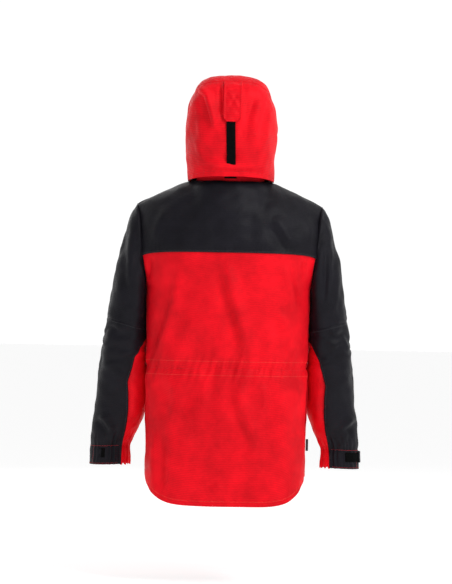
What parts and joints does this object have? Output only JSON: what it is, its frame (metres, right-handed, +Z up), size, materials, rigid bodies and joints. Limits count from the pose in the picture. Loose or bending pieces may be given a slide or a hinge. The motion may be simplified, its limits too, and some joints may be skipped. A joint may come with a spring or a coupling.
{
  "type": "foul weather jacket",
  "caption": "Hooded foul weather jacket with contrast yoke and sleeves, front zip under a storm flap, patch pockets, waist drawcord and tabbed cuffs.",
  "frame": {"origin": "on the neck seam behind the middle of the hang loop", "axes": "+Z up along the body, +X to the wearer's left, -Y out of the front, +Y out of the back"},
  "size_m": [0.7158, 0.2952, 1.118],
  "materials": {
    "red_shell": "coated ribbed weave",
    "black_shell": "coated ribbed weave",
    "lining": "smooth taffeta",
    "cord": "braided",
    "hook_and_loop": "fuzzy",
    "webbing": "woven tape",
    "elastic": "ribbed elastic",
    "black_plastic": "moulded",
    "dark_metal": "black enamel",
    "snap_cap": "black enamel",
    "bright_metal": "plated"
  },
  "bodies": {
    "jacket": {"back_panel": "red_shell", "back_yoke": "black_shell", "front_panel_left": "red_shell", "front_panel_right": "red_shell", "front_yoke_left": "black_shell", "front_yoke_right": "black_shell", "collar": "red_shell", "body_lining": "lining", "waist_channel": "red_shell", "waist_drawcord": "cord", "hang_loop": "webbing", "side_label": "webbing", "nape_patch": "hook_and_loop", "zip_tape_left": "webbing", "zip_tape_right": "webbing", "zip_teeth_left": "black_plastic", "zip_teeth_right": "black_plastic", "zip_bottom_box": "black_plastic", "front_snap_studs": "bright_metal", "pocket_left": "red_shell", "pocket_right": "red_shell", "sleeve_head_left": "black_shell", "sleeve_head_right": "black_shell"},
    "slider": {"zip_slider": "dark_metal"},
    "puller": {"zip_puller": "dark_metal"},
    "storm_flap": {"storm_flap": "red_shell", "flap_snap_caps": "snap_cap"},
    "pocket_flap_left": {"pocket_flap_left": "red_shell"},
    "pocket_flap_right": {"pocket_flap_right": "red_shell"},
    "hood": {"hood_back": "red_shell", "hood_crown": "red_shell", "hood_brim": "red_shell", "hood_lining": "lining", "hood_strip": "hook_and_loop", "hood_eyelets": "bright_metal"},
    "hood_tab": {"hood_tab": "red_shell", "hood_tab_hook": "hook_and_loop"},
    "upper_sleeve_left": {"upper_sleeve_left": "black_shell", "elbow_left": "black_shell"},
    "lower_sleeve_left": {"lower_sleeve_outer_left": "black_shell", "lower_sleeve_inner_left": "red_shell", "cuff_elastic_left": "elastic", "cuff_loop_left": "hook_and_loop"},
    "cuff_tab_left": {"cuff_tab_left": "black_shell"},
    "cord_lock_left": {"cord_lock_left": "black_plastic", "lock_spring_left": "bright_metal"},
    "lock_plunger_left": {"lock_plunger_left": "black_plastic"},
    "upper_sleeve_right": {"upper_sleeve_right": "black_shell", "elbow_right": "black_shell"},
    "lower_sleeve_right": {"lower_sleeve_outer_right": "black_shell", "lower_sleeve_inner_right": "red_shell", "cuff_elastic_right": "elastic", "cuff_loop_right": "hook_and_loop"},
    "cuff_tab_right": {"cuff_tab_right": "black_shell"},
    "cord_lock_right": {"cord_lock_right": "black_plastic", "lock_spring_right": "bright_metal"},
    "lock_plunger_right": {"lock_plunger_right": "black_plastic"}
  },
  "joints": [
    {"name": "hood_fold", "type": "hinge", "parent": "jacket", "child": "hood", "pos_m": [0, 0.032, 0.012], "axis": [-1, 0, 0], "range_deg": [0, 115]},
    {"name": "hood_tab_peel", "type": "hinge", "parent": "hood", "child": "hood_tab", "pos_m": [0, 0.0405, 0.256], "axis": [1, 0, 0], "range_deg": [0, 150]},
    {"name": "zip_slide", "type": "slide", "parent": "jacket", "child": "slider", "axis": [0, -0.0611, -0.9981], "range_m": [0, 0.72], "deforming": ["zip_teeth_left", "zip_teeth_right"]},
    {"name": "puller_swing", "type": "hinge", "parent": "slider", "child": "puller", "pos_m": [0, -0.16638, -0.01001], "axis": [-1, 0, 0], "range_deg": [0, 150]},
    {"name": "storm_flap_open", "type": "hinge", "parent": "jacket", "child": "storm_flap", "pos_m": [0.036, -0.19536, -0.44846], "axis": [0, 0.0611, 0.9981], "range_deg": [0, 105]},
    {"name": "shoulder_left", "type": "hinge", "parent": "jacket", "child": "upper_sleeve_left", "pos_m": [0.24, -0.086, -0.105], "axis": [0, -1, 0], "range_deg": [0, 45], "deforming": ["sleeve_head_left"]},
    {"name": "elbow_left", "type": "hinge", "parent": "upper_sleeve_left", "child": "lower_sleeve_left", "pos_m": [0.268, -0.112, -0.43], "axis": [-1, 0, 0], "range_deg": [0, 60], "deforming": ["elbow_left"]},
    {"name": "cuff_tab_peel_left", "type": "hinge", "parent": "lower_sleeve_left", "child": "cuff_tab_left", "pos_m": [0.3285, -0.2105, -0.715], "axis": [0.044, -0.1147, -0.9924], "range_deg": [0, 110]},
    {"name": "pocket_flap_lift_left", "type": "hinge", "parent": "jacket", "child": "pocket_flap_left", "pos_m": [0.1325, -0.19, -0.529], "axis": [-0.9443, -0.3291, 0], "range_deg": [0, 100]},
    {"name": "cord_lock_slide_left", "type": "slide", "parent": "jacket", "child": "cord_lock_left", "axis": [-1, 0, 0], "range_m": [0, 0.02]},
    {"name": "lock_press_left", "type": "slide", "parent": "cord_lock_left", "child": "lock_plunger_left", "axis": [0, 0, -1], "range_m": [0, 0.003], "stiffness_N_per_m": 400, "springref_m": -0.002, "deforming": ["lock_spring_left"]},
    {"name": "shoulder_right", "type": "hinge", "parent": "jacket", "child": "upper_sleeve_right", "pos_m": [-0.24, -0.086, -0.105], "axis": [0, 1, 0], "range_deg": [0, 45], "deforming": ["sleeve_head_right"]},
    {"name": "elbow_right", "type": "hinge", "parent": "upper_sleeve_right", "child": "lower_sleeve_right", "pos_m": [-0.268, -0.112, -0.43], "axis": [-1, 0, 0], "range_deg": [0, 60], "deforming": ["elbow_right"]},
    {"name": "cuff_tab_peel_right", "type": "hinge", "parent": "lower_sleeve_right", "child": "cuff_tab_right", "pos_m": [-0.3285, -0.2105, -0.715], "axis": [0.044, 0.1147, 0.9924], "range_deg": [0, 110]},
    {"name": "pocket_flap_lift_right", "type": "hinge", "parent": "jacket", "child": "pocket_flap_right", "pos_m": [-0.1325, -0.19, -0.529], "axis": [-0.9443, 0.3291, 0], "range_deg": [0, 100]},
    {"name": "cord_lock_slide_right", "type": "slide", "parent": "jacket", "child": "cord_lock_right", "axis": [1, 0, 0], "range_m": [0, 0.02]},
    {"name": "lock_press_right", "type": "slide", "parent": "cord_lock_right", "child": "lock_plunger_right", "axis": [0, 0, -1], "range_m": [0, 0.003], "stiffness_N_per_m": 400, "springref_m": -0.002, "deforming": ["lock_spring_right"]}
  ]
}
